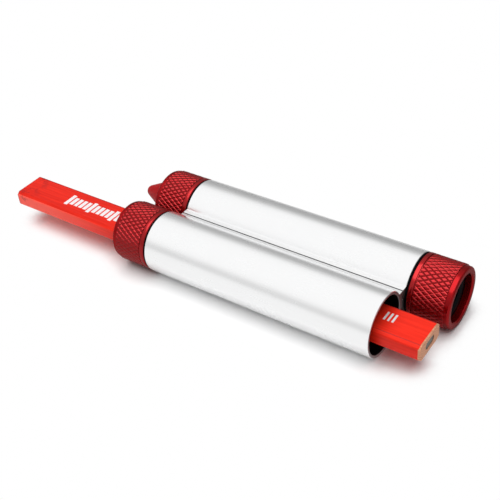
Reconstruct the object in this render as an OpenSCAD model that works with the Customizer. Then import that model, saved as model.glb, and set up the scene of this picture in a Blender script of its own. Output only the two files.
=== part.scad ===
// Twin-barrel holder for a flat carpenter's pencil and round marking crayons.
// Millimetres. +X runs along the barrels towards the empty crayon socket and +Z is up.
// Both barrels lie on the plane Z = 0, and the origin is the middle of the footprint there.
// The pencil barrel is on the -Y side and the crayon barrel on the +Y side.

/* [Pencil] */
// Length of the pencil
pencil_len = 180; // [150:0.2:190]
// Width of the pencil
pencil_w = 14.1; // [12:0.1:14.6]
// Thickness of the pencil
pencil_t = 6.8; // [6:0.1:7.2]
// Bevel of the pencil's long edges along its width
pencil_bevel_w = 1.2; // [1:0.1:2]
// Bevel of the pencil's long edges along its thickness
pencil_bevel_t = 1.15; // [0.9:0.05:1.8]
// Length of pencil that stands out of its collar
pencil_out = 55.5; // [30:0.5:80]
// Width of the lead
lead_w = 6.2; // [4:0.1:7]
// Thickness of the lead
lead_t = 3; // [1.8:0.1:3.2]
// Lacquer and wood that close the dipped end over the lead
lead_cover = 0.6; // [0.3:0.1:1.5]
// Roll of the pencil in its collet, in degrees
pencil_roll = 1.4; // [0:0.2:4]

/* [Crayon] */
// Diameter of the crayon
crayon_d = 12.7; // [11:0.1:13]
// Length of the crayon
crayon_len = 108; // [90:0.5:109]
// Length of crayon that stands out of its collar
crayon_out = 12.2; // [4:0.2:20]
// Radius of the blunt tip
tip_round = 2.4; // [1.5:0.1:4]
// Half angle of the tapered tip, in degrees
tip_angle = 26; // [12:0.5:30]
// Bevel at the crayon's tail
tail_bevel = 0.5; // [0.2:0.1:1]

/* [Barrels] */
// Wall of each barrel
barrel_wall = 1.25; // [1.15:0.05:1.5]
// Length of both barrels
barrel_len = 92.4; // [80:0.2:110]
// Gap between the two tubes, which the web fills
barrel_gap = 1.6; // [1.2:0.1:3]
// Height of the flat web that joins the barrels
web_h = 11.4; // [9:0.2:14]
// Bevel along the web's seam and at each barrel end
edge_break = 0.3; // [0.1:0.05:0.5]

/* [Web dovetail] */
// Height of the dovetail where it leaves the pencil barrel's half of the web
dovetail_root_h = 3.2; // [2:0.2:4]
// Height of the dovetail at its tip
dovetail_tip_h = 4.2; // [4.1:0.1:5]
// Reach of the dovetail across the seam
dovetail_reach = 1; // [0.6:0.1:1.1]
// Play of the dovetail in its groove
dovetail_clear = 0.06; // [0.02:0.01:0.1]

/* [Collars] */
// Length of a collar that shows outside its barrel
collar_len = 15.3; // [14:0.1:18]
// Slot between a barrel's end and its collar when tight, filled by the seal ring
collar_gap = 0.8; // [0.6:0.1:1.2]
// Smooth ring beside the barrel
shoulder_len = 1.7; // [1.2:0.1:2.4]
// Groove between the smooth ring and the knurl
groove_len = 0.3; // [0.2:0.05:0.5]
// Depth of the knurl, of the groove beside it and of the step at the nose
knurl_depth = 0.4; // [0.2:0.05:0.5]
// Length of the smooth nose ahead of the knurl
nose_len = 2; // [1.6:0.1:3]
// Radius of the rounded edge at the nose
nose_round = 0.8; // [0.3:0.05:1.2]
// Depth of the countersink in the mouth
mouth_bevel = 0.7; // [0.3:0.05:0.9]
// Length of the lip that keeps the collet in
lip_len = 2.8; // [2.2:0.1:3.4]
// Height of that lip inside the collar's bore
lip_h = 0.42; // [0.3:0.02:0.6]

/* [Threads] */
// Pitch of the collar threads
thread_pitch = 1; // [0.75:0.25:1.25]
// Depth of the collar threads
thread_depth = 0.45; // [0.3:0.05:0.5]
// Length of the threaded neck inside the barrel
neck_len = 8.4; // [7:0.1:10]
// Wall of the neck over its threads
neck_wall = 1.18; // [1:0.02:1.4]
// Radial play between neck and barrel
thread_clear = 0.07; // [0.03:0.01:0.1]

/* [Collets] */
// Wall that a collet keeps outside the widest thing it holds
collet_wall = 1.99; // [1.6:0.01:2.6]
// Radial play between collet and collar, and between collet and what it grips
fit_clear = 0.08; // [0.03:0.01:0.1]
// End play of the collet's bead in its groove
bead_play = 0.15; // [0.1:0.05:0.3]
// Width of the bead round the collet's nose
bead_len = 1.2; // [0.8:0.1:1.6]
// Height of that bead
bead_h = 0.35; // [0.2:0.05:0.45]
// Funnel in the collet's nose
funnel = 0.8; // [0.4:0.1:1]
// Length of the collet's tapered tail beyond the neck
tail_len = 3.4; // [2.6:0.1:4.2]
// Drop of the tail's radius over its taper
tail_drop = 0.8; // [0.5:0.05:0.85]
// Width of the cuts between a collet's fingers
finger_slot = 1; // [0.6:0.1:1.4]
// Length of the solid band at the collet's nose, ahead of the cuts
collet_band = 7; // [5:0.2:10]
// Number of fingers of a crayon collet
crayon_fingers = 6; // [4:1:8]

/* [Cone seats] */
// Gap between the collet's taper and its seat when tight
seat_gap = 0.2; // [0.15:0.05:0.3]
// Length of the seat beyond the end of the collet's tail
seat_shoulder = 2.6; // [1.6:0.2:4]
// Wall that the seat keeps at its widest
seat_wall = 0.9; // [0.6:0.05:1.1]

/* [Seal rings] */
// Thickness of each seal ring
seal_t = 0.6; // [0.3:0.05:0.6]
// Radial width of each seal ring
seal_w = 1; // [0.6:0.1:1.2]

/* [Hidden] */
$fn = 96;
// Overrun of every cut
over = 0.5;
// Steps of each rounded edge
round_steps = 6;
// Share of a thread's pitch, and of its depth, at the points of one tooth
tooth_shares = [[0, 0], [0.375, 1], [0.5, 1], [0.875, 0]];

half_len = barrel_len / 2;

// Radii from what is held outwards: collet, neck, barrel, and the collar flush with the barrel
crayon_r = crayon_d / 2;
crayon_bore_r = crayon_r + fit_clear;
held_r = max(crayon_r, pencil_w / 2);
collet_r = held_r + fit_clear + collet_wall;
bead_r = collet_r + bead_h;
neck_bore_r = collet_r + fit_clear;
neck_r = neck_bore_r + neck_wall;
bore_r = neck_r + thread_clear;
barrel_r = bore_r + barrel_wall;
collar_r = barrel_r;
mouth_r = collet_r - lip_h;

// The barrels' axes: apart by a barrel and the gap, and as high as a barrel lies on the table
axis_y = barrel_r + barrel_gap / 2;
axis_z = barrel_r;

// Radii of the collar's outside: the knurl's middle, and its root, which the groove and the nose share
knurl_r = collar_r - knurl_depth / 2;
root_r = collar_r - knurl_depth;

// Places along a barrel's axis, measured outwards from its end face
collar_end = collar_gap + collar_len;
lip_face = collar_end - lip_len;
collet_front = lip_face - bead_play;
bead_back = collet_front - bead_len;
knurl_start = collar_gap + shoulder_len + groove_len;
knurl_end = collar_end - nose_len;
tail_start = -neck_len - bead_play;
tail_end = tail_start - tail_len;
seat_end = tail_end - seat_shoulder;
tail_r = collet_r - tail_drop;
seat_mouth_r = bore_r - seat_wall;
teeth = floor((neck_len - thread_pitch) / thread_pitch);

// Where the pencil and the crayon start
pencil_left = -half_len - collar_end - pencil_out;
crayon_left = -half_len - collar_end - crayon_out;

// The footprint runs from the pencil's dipped end to the nose of the rear collar
right_reach = max(half_len + collar_end, pencil_left + pencil_len);
centre_x = (pencil_left + right_reach) / 2;

// Points of a quarter turn of radius r about [x, y], from angle a to angle b
function arc(x, y, r, a, b) = [
    for (i = [0:round_steps])
        let (t = a + (b - a) * i / round_steps)
        [x + r * cos(t), y + r * sin(t)]
];

// Points of n thread teeth from z0 upwards, on radius r, cut to r - depth; a negative depth cuts outwards
function tooth_points(r, z0, n, depth) = [
    for (i = [0:n - 1])
        for (s = tooth_shares)
            [r - s[1] * depth, z0 + (i + s[0]) * thread_pitch]
];

// Moves a child from the holder's own frame, midway between the barrel ends on the table, to the origin's
module in_frame() {
    translate([-centre_x, 0, 0])
        children();
}

// Stands a child on a barrel's end face, with its own +Z pointing out of the barrel
module at_end(y, side) {
    in_frame()
        translate([side * half_len, y, axis_z])
            rotate([0, side * 90, 0])
                children();
}

// Runs a section in the YZ plane from x0 to x1, centred on a barrel's axis
module run_along(y, x0, x1) {
    in_frame()
        translate([x0, y, axis_z])
            rotate([90, 0, 90])
                linear_extrude(height = x1 - x0)
                    children();
}

// Half of the web, from a barrel's axis out to the seam, with the seam's edges bevelled
module half_web(toward) {
    seam = toward * axis_y;
    inset = toward * (axis_y - edge_break);
    top = web_h / 2;
    polygon([
        [0, -top], [inset, -top], [seam, -top + edge_break],
        [seam, top - edge_break], [inset, top], [0, top]
    ]);
}

// Dovetail that crosses the seam from the pencil barrel, widened by grow on every side
module dovetail(grow) {
    root = dovetail_root_h / 2 + grow;
    tip = dovetail_tip_h / 2 + grow;
    reach = dovetail_reach + grow;
    polygon([[-over, -root], [0, -root], [reach, -tip], [reach, tip], [0, root], [-over, root]]);
}

// Solid rod with bevelled ends that the barrel is bored from
module barrel_blank() {
    rotate_extrude()
        polygon([
            [0, 0], [barrel_r - edge_break, 0], [barrel_r, edge_break],
            [barrel_r, barrel_len - edge_break], [barrel_r - edge_break, barrel_len], [0, barrel_len]
        ]);
}

// Thread cut outwards into a barrel's bore from its end face, z down
module female_thread() {
    rotate_extrude()
        polygon(concat(
            [[bore_r - over, -(teeth + 1) * thread_pitch], [bore_r, -(teeth + 1) * thread_pitch]],
            tooth_points(bore_r, -(teeth + 0.5) * thread_pitch, teeth, -thread_depth),
            [[bore_r, 0], [bore_r - over, 0]]
        ));
}

// Bevel at the mouth of a bore of radius r, with its wide end on the end face
module mouth_cut(r, bevel) {
    rotate_extrude()
        polygon([[0, -bevel], [r, -bevel], [r + bevel, 0], [r + bevel, over], [0, over]]);
}

// One barrel: the rod and its half of the web, bored through, threaded at each end in sides
module barrel(y, sides) {
    toward = y < 0 ? 1 : -1;
    difference() {
        union() {
            in_frame()
                translate([-half_len, y, axis_z])
                    rotate([0, 90, 0])
                        barrel_blank();
            run_along(y, -half_len, half_len)
                half_web(toward);
            if (toward > 0)
                run_along(0, -half_len, half_len)
                    dovetail(0);
        }
        if (toward < 0)
            run_along(0, -half_len - over, half_len + over)
                dovetail(dovetail_clear);
        in_frame()
            translate([-half_len - over, y, axis_z])
                rotate([0, 90, 0])
                    cylinder(h = barrel_len + 2 * over, r = bore_r);
        for (side = [-1, 1])
            at_end(y, side)
                mouth_cut(bore_r, edge_break);
        for (side = sides)
            at_end(y, side)
                female_thread();
    }
}

// Knurled collar: threaded neck, shoulder, knurl band, rounded nose and lipped mouth
module collar(y, side) {
    at_end(y, side)
        rotate_extrude()
            polygon(concat(
                [[neck_bore_r, -neck_len], [neck_r - thread_depth, -neck_len]],
                tooth_points(neck_r, -(teeth + 0.5) * thread_pitch, teeth, thread_depth),
                [
                    [neck_r, -thread_pitch / 2], [neck_r, collar_gap],
                    [root_r, collar_gap], [collar_r, collar_gap + knurl_depth],
                    [collar_r, collar_gap + shoulder_len], [root_r, collar_gap + shoulder_len],
                    [root_r, knurl_start], [knurl_r, knurl_start],
                    [knurl_r, knurl_end], [root_r, knurl_end]
                ],
                arc(root_r - nose_round, collar_end - nose_round, nose_round, 0, 90),
                [
                    [mouth_r + mouth_bevel, collar_end], [mouth_r, collar_end - mouth_bevel],
                    [mouth_r, lip_face],
                    [bead_r + fit_clear, lip_face],
                    [bead_r + fit_clear, bead_back - bead_play], [neck_bore_r, bead_back - bead_play]
                ]
            ));
}

// Rubber ring in the slot between collar and barrel, stretched over the neck
module seal_ring(y, side) {
    at_end(y, side)
        rotate_extrude()
            polygon(concat(
                [[neck_r, collar_gap - seal_t]],
                arc(neck_r + seal_w - seal_t / 2, collar_gap - seal_t / 2, seal_t / 2, -90, 90),
                [[neck_r, collar_gap]]
            ));
}

// Outside of a collet: beaded nose, straight body and tapered tail
module collet_blank() {
    rotate_extrude()
        polygon([
            [0, tail_end], [tail_r, tail_end], [collet_r, tail_start],
            [collet_r, bead_back], [bead_r, bead_back + bead_h],
            [bead_r, collet_front - bead_h], [collet_r, collet_front], [0, collet_front]
        ]);
}

// Cuts between the fingers, from the tail up to the solid band; first turns the pattern
module finger_cuts(count, first) {
    cut_len = collet_front - collet_band - tail_end;
    for (i = [0:count - 1])
        rotate([0, 0, first + i * 360 / count])
            translate([0, -finger_slot / 2, tail_end - over])
                cube([bead_r + over, finger_slot, cut_len + over]);
}

// Round collet for a crayon
module crayon_collet(side) {
    at_end(axis_y, side)
        difference() {
            collet_blank();
            translate([0, 0, tail_end - over])
                cylinder(h = collet_front - tail_end + 2 * over, r = crayon_bore_r);
            translate([0, 0, collet_front])
                mouth_cut(crayon_bore_r, funnel);
            finger_cuts(crayon_fingers, 0);
        }
}

// Pencil section, grown by grow on every side
module pencil_section(grow) {
    w = pencil_w / 2 + grow;
    t = pencil_t / 2 + grow;
    polygon([
        [w - pencil_bevel_w, t], [w, t - pencil_bevel_t], [w, pencil_bevel_t - t], [w - pencil_bevel_w, -t],
        [pencil_bevel_w - w, -t], [-w, pencil_bevel_t - t], [-w, t - pencil_bevel_t], [pencil_bevel_w - w, t]
    ]);
}

// Collet for the flat pencil, slotted at the four corners of its opening
module flat_collet() {
    corner = atan2(pencil_t, pencil_w);
    at_end(-axis_y, -1)
        rotate([0, 0, -pencil_roll])
            difference() {
                collet_blank();
                translate([0, 0, tail_end - over])
                    linear_extrude(height = collet_front - tail_end + 2 * over)
                        rotate([0, 0, 90])
                            pencil_section(fit_clear);
                for (first = [90 - corner, 90 + corner])
                    finger_cuts(2, first);
            }
}

// Ring pressed into the barrel that takes the collet's taper
module cone_seat(y, side) {
    at_end(y, side)
        rotate_extrude()
            polygon([
                [tail_r, seat_end], [bore_r, seat_end], [bore_r, tail_start],
                [seat_mouth_r, tail_start], [tail_r + seat_gap, tail_end], [tail_r, tail_end]
            ]);
}

// Runs a pencil section from x0 to x1, rolled about the pencil's own axis
module pencil_run(x0, x1) {
    run_along(-axis_y, x0, x1)
        rotate(pencil_roll)
            children();
}

// Section of the lead, a flat bar with round edges
module lead_section() {
    land = (lead_w - lead_t) / 2;
    square([2 * land, lead_t], center = true);
    for (s = [-1, 1])
        translate([s * land, 0])
            circle(d = lead_t);
}

// One glued half of the pencil's cedar, above (up = 1) or below (up = -1) the glue line
module pencil_slat(up) {
    keep_h = pencil_t + over;
    difference() {
        pencil_run(pencil_left, pencil_left + pencil_len)
            intersection() {
                pencil_section(0);
                translate([-pencil_w, up > 0 ? 0 : -keep_h])
                    square([2 * pencil_w, keep_h]);
            }
        pencil_run(pencil_left + lead_cover, pencil_left + pencil_len + over)
            lead_section();
    }
}

module pencil_barrel() { color("silver") barrel(-axis_y, [-1]); }
module crayon_barrel() { color("silver") barrel(axis_y, [-1, 1]); }
module pencil_cone_seat() { color("lightgray") cone_seat(-axis_y, -1); }
module front_cone_seat() { color("lightgray") cone_seat(axis_y, -1); }
module rear_cone_seat() { color("lightgray") cone_seat(axis_y, 1); }
module pencil_collet() { color([0.08, 0.08, 0.09]) flat_collet(); }
module front_collet() { color([0.08, 0.08, 0.09]) crayon_collet(-1); }
module rear_collet() { color([0.08, 0.08, 0.09]) crayon_collet(1); }
module pencil_collar() { color([0.62, 0.05, 0.09]) collar(-axis_y, -1); }
module front_collar() { color([0.62, 0.05, 0.09]) collar(axis_y, -1); }
module rear_collar() { color([0.62, 0.05, 0.09]) collar(axis_y, 1); }
module pencil_seal_ring() { color("black") seal_ring(-axis_y, -1); }
module front_seal_ring() { color("black") seal_ring(axis_y, -1); }
module rear_seal_ring() { color("black") seal_ring(axis_y, 1); }
module pencil_upper_slat() { color([0.85, 0.12, 0.1]) pencil_slat(1); }
module pencil_lower_slat() { color([0.85, 0.12, 0.1]) pencil_slat(-1); }

module pencil_lead() {
    color([0.2, 0.2, 0.22])
        pencil_run(pencil_left + lead_cover, pencil_left + pencil_len)
            lead_section();
}

// Wax crayon: bevelled tail, straight body, taper and blunt round tip
module crayon_stick() {
    tangent = tip_round * cos(tip_angle);
    taper_len = (crayon_r - tangent) / tan(tip_angle);
    tip_len = tip_round - tip_round * sin(tip_angle);
    color([0.55, 0.07, 0.12])
        in_frame()
            translate([crayon_left, axis_y, axis_z])
                rotate([0, 90, 0])
                    rotate_extrude()
                        polygon(concat(
                            [for (p = arc(tip_round, 0, tip_round, 180, 90 + tip_angle)) [p[1], p[0]]],
                            [
                                [crayon_r, tip_len + taper_len], [crayon_r, crayon_len - tail_bevel],
                                [crayon_r - tail_bevel, crayon_len], [0, crayon_len]
                            ]
                        ));
}

pencil_barrel();
crayon_barrel();
pencil_cone_seat();
front_cone_seat();
rear_cone_seat();
pencil_collet();
front_collet();
rear_collet();
pencil_collar();
front_collar();
rear_collar();
pencil_seal_ring();
front_seal_ring();
rear_seal_ring();
pencil_upper_slat();
pencil_lower_slat();
pencil_lead();
crayon_stick();
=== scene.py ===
"""Dresses a twin-barrel holder: a flat carpenter's pencil in one tube, a marking crayon in the other.

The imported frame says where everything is. Each class below rebuilds one group of pieces as smooth surfaces,
worked out with numpy in millimetres in the row frame, and dresses them in procedural finishes.
Along a barrel, s is the distance outwards from the barrel's end face. Round an axis, the angle turns from +Y
towards +Z.
"""

import logging
import math
from dataclasses import dataclass, field
from enum import Enum

import bmesh
import bpy
import numpy as np
from mathutils import Matrix, Vector
from mathutils.geometry import tessellate_polygon
from numpy.typing import NDArray


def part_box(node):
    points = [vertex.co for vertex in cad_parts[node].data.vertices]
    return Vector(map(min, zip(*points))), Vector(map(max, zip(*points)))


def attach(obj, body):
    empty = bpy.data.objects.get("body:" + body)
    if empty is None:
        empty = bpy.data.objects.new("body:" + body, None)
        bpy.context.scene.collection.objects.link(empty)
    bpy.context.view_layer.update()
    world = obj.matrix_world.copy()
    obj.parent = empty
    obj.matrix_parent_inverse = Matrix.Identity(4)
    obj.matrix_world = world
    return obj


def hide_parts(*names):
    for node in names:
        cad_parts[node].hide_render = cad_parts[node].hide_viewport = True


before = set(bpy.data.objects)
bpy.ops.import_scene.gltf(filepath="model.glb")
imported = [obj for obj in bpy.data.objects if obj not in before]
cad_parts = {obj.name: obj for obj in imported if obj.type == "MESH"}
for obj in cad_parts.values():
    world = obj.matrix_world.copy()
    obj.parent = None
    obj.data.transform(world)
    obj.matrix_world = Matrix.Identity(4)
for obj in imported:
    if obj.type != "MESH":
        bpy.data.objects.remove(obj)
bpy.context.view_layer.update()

Array = NDArray[np.float64]
Index = NDArray[np.int64]
Colour = tuple[float, float, float]

MM = 0.001
TURN = 2 * math.pi
TINT = "tint"
CREASE = 32.0
TUBE_RADIUS = 11.7
log = logging.getLogger("holder")


class Slot(Enum):
    """The record's material slots."""

    BARREL = "barrel_aluminium"
    SEAT = "seat_aluminium"
    COLLET = "collet_nylon"
    COLLAR = "collar_red"
    SEAL = "seal_rubber"
    LACQUER = "pencil_lacquer"
    LEAD = "pencil_lead"
    CRAYON = "crayon_wax"


class Wire:
    """An output socket. Python's operators on it add Math nodes, also where the number comes first."""

    def __init__(self, graph: "Graph", socket: bpy.types.NodeSocket) -> None:
        """Holds the socket and the graph that new nodes go to."""
        self.graph = graph
        self.socket = socket

    def math(self, operation: str, *values: "Wire | float") -> "Wire":
        """One Math node.

        Args:
            operation: the node's operation.
            values: what goes into its sockets, in order.

        Returns:
            Its output.
        """
        return self.graph.node("Math", {"operation": operation}, dict(enumerate(values)))

    def __add__(self, other: "Wire | float") -> "Wire":
        """This plus other."""
        return self.math("ADD", self, other)

    def __radd__(self, other: float) -> "Wire":
        """A number plus this."""
        return self.math("ADD", other, self)

    def __sub__(self, other: "Wire | float") -> "Wire":
        """This less other."""
        return self.math("SUBTRACT", self, other)

    def __rsub__(self, other: float) -> "Wire":
        """A number less this."""
        return self.math("SUBTRACT", other, self)

    def __mul__(self, other: "Wire | float") -> "Wire":
        """This times other."""
        return self.math("MULTIPLY", self, other)

    def __rmul__(self, other: float) -> "Wire":
        """A number times this."""
        return self.math("MULTIPLY", other, self)

    def __truediv__(self, other: "Wire | float") -> "Wire":
        """This over other."""
        return self.math("DIVIDE", self, other)

    def __gt__(self, other: "Wire | float") -> "Wire":
        """1 where this is above other, else 0."""
        return self.math("GREATER_THAN", self, other)

    def __lt__(self, other: "Wire | float") -> "Wire":
        """1 where this is below other, else 0."""
        return self.math("LESS_THAN", self, other)

    def __abs__(self) -> "Wire":
        """This without its sign."""
        return self.math("ABSOLUTE", self)

    def rest(self) -> "Wire":
        """The part of this after the decimal point."""
        return self.math("FRACT", self)

    def swing(self, amount: float) -> "Wire":
        """A change of amount in all, from half of it below 0 to half above, as this goes from 0 to 1."""
        return (self - 0.5) * amount

    def step(self, low: float, high: float) -> "Wire":
        """A smooth rise from 0 at low to 1 at high, or a fall where low is the larger."""
        return self.graph.node(
            "MapRange",
            {"interpolation_type": "SMOOTHSTEP"},
            {"Value": self, "From Min": low, "From Max": high},
        )

    def stretched(self, x: float, y: float, z: float) -> "Wire":
        """This vector with each axis scaled."""
        return self.graph.node("VectorMath", {"operation": "MULTIPLY"}, {0: self, 1: (x, y, z)})

    def axes(self) -> "tuple[Wire, Wire, Wire]":
        """This vector's three numbers."""
        split = self.graph.node("SeparateXYZ", None, {0: self}).socket.node
        return tuple(Wire(self.graph, split.outputs[i]) for i in range(3))


class Graph:
    """The node tree of one material or of the world."""

    def __init__(self, owner: "bpy.types.Material | bpy.types.World") -> None:
        """Empties the owner's node tree and takes it over.

        Args:
            owner: whose tree it is.
        """
        owner.use_nodes = True
        self.tree = owner.node_tree
        self.tree.nodes.clear()

    def node(
        self, kind: str, settings: dict | None = None, sockets: dict | None = None, out: "int | str" = 0
    ) -> Wire:
        """Adds one node.

        Args:
            kind: the node's type, without its ShaderNode prefix.
            settings: its own settings, set first; stops are a colour ramp's places and colours.
            sockets: values or links for its inputs, by name or number.
            out: the output that is wanted.

        Returns:
            That output, or the first input of a node that has no output.
        """
        made = self.tree.nodes.new("ShaderNode" + kind)
        for name, value in (settings or {}).items():
            if name == "stops":
                for _ in range(len(value) - len(made.color_ramp.elements)):
                    made.color_ramp.elements.new(0.5)
                for element, (place, colour) in zip(made.color_ramp.elements, value):
                    element.position, element.color = place, (*colour, 1)
            else:
                setattr(made, name, value)
        for name, value in (sockets or {}).items():
            socket = made.inputs[name]
            if isinstance(value, Wire):
                self.tree.links.new(value.socket, socket)
            elif socket.type == "RGBA" and len(value) == 3:
                socket.default_value = (*value, 1)
            else:
                socket.default_value = value
        return Wire(self, made.outputs[out] if len(made.outputs) else made.inputs[0])

    def blend(self, share: "Wire | float", low: "Wire | Colour", high: "Wire | Colour") -> Wire:
        """A colour that goes from low to high as share goes from 0 to 1.

        A Mix node's share is input 0, its two colours are inputs 6 and 7, and the mixed one is output 2.
        """
        return self.node("Mix", {"data_type": "RGBA"}, {0: share, 6: low, 7: high}, 2)

    def place(self, centre: Colour = (0, 0, 0), roll: float = 0) -> Wire:
        """Where a point of the piece lies.

        Args:
            centre: the point that counts as the origin, in mm in the row frame.
            roll: the piece's roll about X, in degrees.

        Returns:
            A vector in millimetres in the piece's own axes.
        """
        where = self.node("TexCoord", out="Object")
        settings = {
            "Vector": where,
            "Location": Vector(centre) * MM,
            "Rotation": (math.radians(roll), 0, 0),
            "Scale": (MM, MM, MM),
        }
        return self.node("Mapping", {"vector_type": "TEXTURE"}, settings)

    def noise(self, where: Wire, scale: float, detail: float = 3, roughness: float = 0.5) -> Wire:
        """Noise from 0 to 1, with scale features to the millimetre."""
        sockets = {"Vector": where, "Scale": scale, "Detail": detail, "Roughness": roughness}
        return self.node("TexNoise", None, sockets)

    def tint(self) -> Wire:
        """The piece's own share at a point, which its builder wrote on the mesh."""
        return self.node("Attribute", {"attribute_name": TINT}, out="Fac")

    def relief(self, height: Wire, depth: float, strength: float = 1) -> Wire:
        """A normal that leans with a height of 0 to 1, which stands for depth in millimetres."""
        return self.node("Bump", None, {"Height": height, "Distance": depth * MM, "Strength": strength})

    def surface(self, sockets: dict) -> None:
        """Ends a material in one Principled surface with these sockets."""
        self.finish(self.node("BsdfPrincipled", None, sockets))

    def finish(self, surface: Wire, output: str = "OutputMaterial") -> None:
        """Links a surface to the tree's output."""
        self.node(output, None, {"Surface": surface})


@dataclass(frozen=True)
class Finish:
    """What every finish shares: a name, and a material that is made once and used again."""

    name: str

    def paint(self, graph: Graph) -> None:
        """Builds the finish's nodes."""
        raise NotImplementedError

    def material(self) -> bpy.types.Material:
        """Finds the finish's material, or makes it.

        Returns:
            The material.
        """
        found = bpy.data.materials.get(self.name)
        if found is None:
            found = bpy.data.materials.new(self.name)
            self.paint(Graph(found))
        return found


@dataclass(frozen=True)
class SatinAluminium(Finish):
    """Silver anodised extrusion: fine drawing lines along it, a few dull patches, and a darker bore that is
    painted shade.
    """

    name: str = "satin_aluminium"
    silver: Colour = (0.965, 0.967, 0.97)
    # painted shade: near black for the bore, the seam's slit and, at part share, the cut end faces
    bore: Colour = (0.01, 0.009, 0.009)
    roughness: float = 0.27
    bore_rougher: float = 0.3
    line_scale: float = 5.0
    line_stretch: float = 0.012
    line_depth: float = 0.003
    line_tone: float = 0.015
    line_dull: float = 0.03
    patch_scale: float = 0.08
    patch_tone: float = 0.02
    patch_dull: float = 0.05
    tone: float = 0.99
    relief: float = 0.12

    def paint(self, graph: Graph) -> None:
        """Lines are noise drawn out along X, patches are broad noise, and the mesh's tint is 1 in the bore
        and the seam's slit, which the bore colour paints near black as shade.

        Args:
            graph: the nodes that it adds to.
        """
        where = graph.place()
        drawn = where.stretched(self.line_stretch, 1, 1)
        lines = graph.noise(drawn, self.line_scale, detail=4, roughness=0.6)
        patches = graph.noise(where, self.patch_scale, detail=2)
        # painted shade: the tint turns the silver towards the near-black bore colour
        inside = graph.tint()
        cloud = lines.swing(self.line_tone) + patches.swing(self.patch_tone) + self.tone
        silver = graph.blend(cloud, (0, 0, 0), self.silver)
        dull = lines.swing(self.line_dull) + patches.swing(self.patch_dull) + inside * self.bore_rougher
        graph.surface({
            "Base Color": graph.blend(inside, silver, self.bore),
            "Metallic": 1.0,
            "Roughness": self.roughness + dull,
            "Normal": graph.relief(lines, self.line_depth, self.relief),
        })


@dataclass(frozen=True)
class TurnedAluminium(Finish):
    """Plain machined aluminium with turning rings."""

    name: str = "turned_aluminium"
    metal: Colour = (0.62, 0.62, 0.63)
    furrow: Colour = (0.5, 0.5, 0.51)
    roughness: float = 0.3
    ring_scale: float = 6.0
    ring_stretch: float = 0.01
    ring_rough: float = 0.15
    ring_depth: float = 0.01
    relief: float = 0.4

    def paint(self, graph: Graph) -> None:
        """Rings are noise drawn out across X, as a turning tool leaves them.

        Args:
            graph: the nodes that it adds to.
        """
        drawn = graph.place().stretched(1, self.ring_stretch, self.ring_stretch)
        rings = graph.noise(drawn, self.ring_scale, detail=2)
        graph.surface({
            "Base Color": graph.blend(rings, self.furrow, self.metal),
            "Metallic": 1.0,
            "Roughness": self.roughness + rings * self.ring_rough,
            "Normal": graph.relief(rings, self.ring_depth, self.relief),
        })


@dataclass(frozen=True)
class RedAnodised(Finish):
    """Deep red anodised aluminium under its clear seal, a little darker in the knurl's grooves as painted
    shade.

    The mesh's tint is 0 in the grooves, 1 on the lands, more on edges that hands rub, and -1 on the nose.
    """

    name: str = "red_anodised"
    red: Colour = (0.265, 0.003, 0.005)
    # darker red painted into the knurl's grooves as shade
    groove: Colour = (0.24, 0.0018, 0.003)
    rub: Colour = (0.33, 0.005, 0.007)
    edge: Colour = (0.4, 0.05, 0.06)
    roughness: float = 0.28
    metallic: float = 0.85
    shine: float = 0.2
    nose_coat: float = 0.14
    knurl_coat: float = 0.18
    coat_roughness: float = 0.15
    cloud_scale: float = 0.35
    cloud_rough: float = 0.1
    grain_scale: float = 9.0
    grain_rough: float = 0.08
    grain_depth: float = 0.004
    relief: float = 0.5
    groove_shade_range: tuple[float, float] = (0, 0.9)
    rub_range: tuple[float, float] = (1.02, 1.5)
    rub_least: float = 0.4
    rub_smooth: float = 0.04
    rub_coat: float = 0.05

    def paint(self, graph: Graph) -> None:
        """Clouds are broad noise in the dye, and the grain is the fine noise of etched metal.

        Args:
            graph: the nodes that it adds to.
        """
        where = graph.place()
        cloud = graph.noise(where, self.cloud_scale)
        grain = graph.noise(where, self.grain_scale, detail=2)
        depth = graph.tint()
        # painted shade: the knurl's grooves blend towards the darker groove red
        body = graph.blend(abs(depth).step(*self.groove_shade_range), self.groove, self.red)
        rubbed = depth.step(*self.rub_range) * (self.rub_least + cloud * (1 - self.rub_least))
        rough = self.roughness + cloud.swing(self.cloud_rough) + grain.swing(self.grain_rough)
        coat = self.nose_coat + (depth > -0.5) * self.knurl_coat
        graph.surface({
            "Base Color": graph.blend(rubbed, body, self.rub),
            "Metallic": self.metallic,
            "Specular IOR Level": self.shine,
            "Specular Tint": self.edge,
            "Roughness": rough - rubbed * self.rub_smooth,
            "Coat Weight": coat + rubbed * self.rub_coat,
            "Coat Roughness": self.coat_roughness,
            "Normal": graph.relief(grain, self.grain_depth, self.relief),
        })


@dataclass(frozen=True)
class BlackMoulding(Finish):
    """A black moulded piece, fine-grained and dull."""

    black: Colour = (0.002, 0.002, 0.003)
    bloom: Colour = (0.008, 0.008, 0.009)
    roughness: float = 0.5
    shine: float = 0.06
    grain_scale: float = 6.0
    grain_depth: float = 0.012
    relief: float = 0.35
    cloud_scale: float = 0.4
    cloud_rough: float = 0.12
    bloom_share: float = 0.4

    def paint(self, graph: Graph) -> None:
        """Fine noise is the mould's texture, and broad noise spreads the pale bloom on the surface.

        Args:
            graph: the nodes that it adds to.
        """
        where = graph.place()
        grain = graph.noise(where, self.grain_scale, detail=2)
        cloud = graph.noise(where, self.cloud_scale)
        graph.surface({
            "Base Color": graph.blend(cloud * self.bloom_share, self.black, self.bloom),
            "Specular IOR Level": self.shine,
            "Roughness": self.roughness + cloud.swing(self.cloud_rough),
            "Normal": graph.relief(grain, self.grain_depth, self.relief),
        })


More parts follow.
